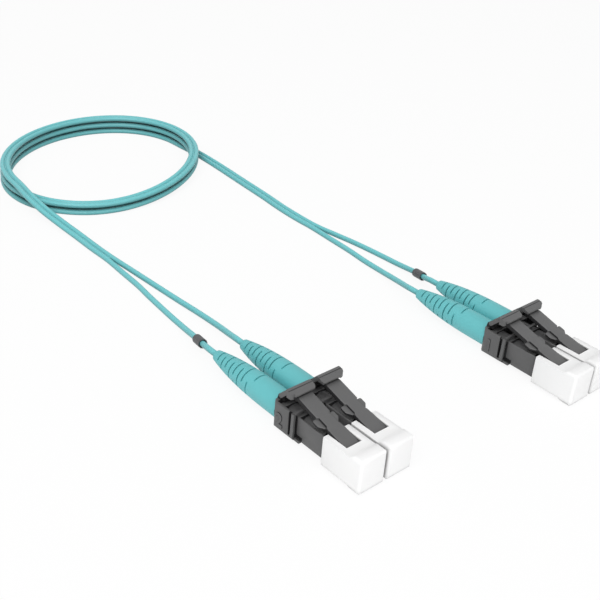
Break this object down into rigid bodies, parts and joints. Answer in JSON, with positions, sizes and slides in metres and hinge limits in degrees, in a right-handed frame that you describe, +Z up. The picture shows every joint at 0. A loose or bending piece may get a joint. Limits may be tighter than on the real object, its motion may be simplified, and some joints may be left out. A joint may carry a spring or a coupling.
{
  "type": "fiber optic patch cord",
  "caption": "Coiled twin fibre cord with a duplex latching plug at each end, strain-relief boots, dust caps and marker sleeves.",
  "frame": {"origin": "bottom centre of the box around the two plug ends, on the surface they lie on", "axes": "+X the way the plugs point, +Y from end a to end b, +Z up"},
  "size_m": [0.1621, 0.0613, 0.0099],
  "materials": {
    "dark_plastic": "moulded, satin",
    "aqua_boot": "moulded, matte",
    "aqua_jacket": "extruded, satin",
    "white_plastic": "moulded, satin",
    "marker_grey": "extruded, satin",
    "ceramic": "polished ceramic",
    "nickel": "nickel plated",
    "steel": "drawn wire",
    "crimp_metal": "plated"
  },
  "bodies": {
    "cord_and_plugs": {"duplex_clip_a": "dark_plastic", "duplex_clip_b": "dark_plastic", "plug_housing_a1": "dark_plastic", "plug_housing_a2": "dark_plastic", "plug_housing_b1": "dark_plastic", "plug_housing_b2": "dark_plastic", "back_body_a1": "dark_plastic", "back_body_a2": "dark_plastic", "back_body_b1": "dark_plastic", "back_body_b2": "dark_plastic", "crimp_sleeve_a1": "crimp_metal", "crimp_sleeve_a2": "crimp_metal", "crimp_sleeve_b1": "crimp_metal", "crimp_sleeve_b2": "crimp_metal", "boot_a1": "aqua_boot", "boot_a2": "aqua_boot", "boot_b1": "aqua_boot", "boot_b2": "aqua_boot", "spring_a1": "steel", "spring_a2": "steel", "spring_b1": "steel", "spring_b2": "steel", "twin_coil": "aqua_jacket", "twin_tail_a": "aqua_jacket", "twin_tail_b": "aqua_jacket", "leg_a1": "aqua_jacket", "leg_a2": "aqua_jacket", "leg_b1": "aqua_jacket", "leg_b2": "aqua_jacket", "marker_sleeve_a": "marker_grey", "marker_sleeve_b": "marker_grey"},
    "trigger_a1": {"trigger_a1": "dark_plastic"},
    "latch_a1": {"latch_arm_a1": "dark_plastic"},
    "ferrule_a1": {"ferrule_a1": "ceramic", "ferrule_flange_a1": "nickel"},
    "cap_a1": {"dust_cap_a1": "white_plastic"},
    "trigger_a2": {"trigger_a2": "dark_plastic"},
    "latch_a2": {"latch_arm_a2": "dark_plastic"},
    "ferrule_a2": {"ferrule_a2": "ceramic", "ferrule_flange_a2": "nickel"},
    "cap_a2": {"dust_cap_a2": "white_plastic"},
    "trigger_b1": {"trigger_b1": "dark_plastic"},
    "latch_b1": {"latch_arm_b1": "dark_plastic"},
    "ferrule_b1": {"ferrule_b1": "ceramic", "ferrule_flange_b1": "nickel"},
    "cap_b1": {"dust_cap_b1": "white_plastic"},
    "trigger_b2": {"trigger_b2": "dark_plastic"},
    "latch_b2": {"latch_arm_b2": "dark_plastic"},
    "ferrule_b2": {"ferrule_b2": "ceramic", "ferrule_flange_b2": "nickel"},
    "cap_b2": {"dust_cap_b2": "white_plastic"}
  },
  "joints": [
    {"name": "trigger_press_a1", "type": "hinge", "parent": "cord_and_plugs", "child": "trigger_a1", "pos_m": [-0.0032, -0.02703, 0.00705], "axis": [0, 1, 0], "range_deg": [0, 12], "stiffness_Nm_per_rad": 0.0005},
    {"name": "latch_flex_a1", "type": "hinge", "parent": "cord_and_plugs", "child": "latch_a1", "pos_m": [0.0123, -0.02703, 0.00545], "axis": [0, -1, 0], "range_deg": [0, 4.2], "stiffness_Nm_per_rad": 0.001},
    {"name": "ferrule_push_a1", "type": "slide", "parent": "cord_and_plugs", "child": "ferrule_a1", "axis": [-1, 0, 0], "range_m": [0, 0.001], "stiffness_N_per_m": 5000, "deforming": ["spring_a1"]},
    {"name": "cap_pull_a1", "type": "slide", "parent": "cord_and_plugs", "child": "cap_a1", "axis": [1, 0, 0], "range_m": [0, 0.008]},
    {"name": "trigger_press_a2", "type": "hinge", "parent": "cord_and_plugs", "child": "trigger_a2", "pos_m": [-0.0032, -0.02077, 0.00705], "axis": [0, 1, 0], "range_deg": [0, 12], "stiffness_Nm_per_rad": 0.0005},
    {"name": "latch_flex_a2", "type": "hinge", "parent": "cord_and_plugs", "child": "latch_a2", "pos_m": [0.0123, -0.02077, 0.00545], "axis": [0, -1, 0], "range_deg": [0, 4.2], "stiffness_Nm_per_rad": 0.001},
    {"name": "ferrule_push_a2", "type": "slide", "parent": "cord_and_plugs", "child": "ferrule_a2", "axis": [-1, 0, 0], "range_m": [0, 0.001], "stiffness_N_per_m": 5000, "deforming": ["spring_a2"]},
    {"name": "cap_pull_a2", "type": "slide", "parent": "cord_and_plugs", "child": "cap_a2", "axis": [1, 0, 0], "range_m": [0, 0.008]},
    {"name": "trigger_press_b1", "type": "hinge", "parent": "cord_and_plugs", "child": "trigger_b1", "pos_m": [0.0028, 0.02077, 0.00705], "axis": [0, 1, 0], "range_deg": [0, 12], "stiffness_Nm_per_rad": 0.0005},
    {"name": "latch_flex_b1", "type": "hinge", "parent": "cord_and_plugs", "child": "latch_b1", "pos_m": [0.0183, 0.02077, 0.00545], "axis": [0, -1, 0], "range_deg": [0, 4.2], "stiffness_Nm_per_rad": 0.001},
    {"name": "ferrule_push_b1", "type": "slide", "parent": "cord_and_plugs", "child": "ferrule_b1", "axis": [-1, 0, 0], "range_m": [0, 0.001], "stiffness_N_per_m": 5000, "deforming": ["spring_b1"]},
    {"name": "cap_pull_b1", "type": "slide", "parent": "cord_and_plugs", "child": "cap_b1", "axis": [1, 0, 0], "range_m": [0, 0.008]},
    {"name": "trigger_press_b2", "type": "hinge", "parent": "cord_and_plugs", "child": "trigger_b2", "pos_m": [0.0028, 0.02703, 0.00705], "axis": [0, 1, 0], "range_deg": [0, 12], "stiffness_Nm_per_rad": 0.0005},
    {"name": "latch_flex_b2", "type": "hinge", "parent": "cord_and_plugs", "child": "latch_b2", "pos_m": [0.0183, 0.02703, 0.00545], "axis": [0, -1, 0], "range_deg": [0, 4.2], "stiffness_Nm_per_rad": 0.001},
    {"name": "ferrule_push_b2", "type": "slide", "parent": "cord_and_plugs", "child": "ferrule_b2", "axis": [-1, 0, 0], "range_m": [0, 0.001], "stiffness_N_per_m": 5000, "deforming": ["spring_b2"]},
    {"name": "cap_pull_b2", "type": "slide", "parent": "cord_and_plugs", "child": "cap_b2", "axis": [1, 0, 0], "range_m": [0, 0.008]}
  ],
  "couplings": [
    {"joint": "latch_flex_a1", "follows": "trigger_press_a1", "ratio": 0.35},
    {"joint": "latch_flex_a2", "follows": "trigger_press_a2", "ratio": 0.35},
    {"joint": "latch_flex_b1", "follows": "trigger_press_b1", "ratio": 0.35},
    {"joint": "latch_flex_b2", "follows": "trigger_press_b2", "ratio": 0.35}
  ]
}
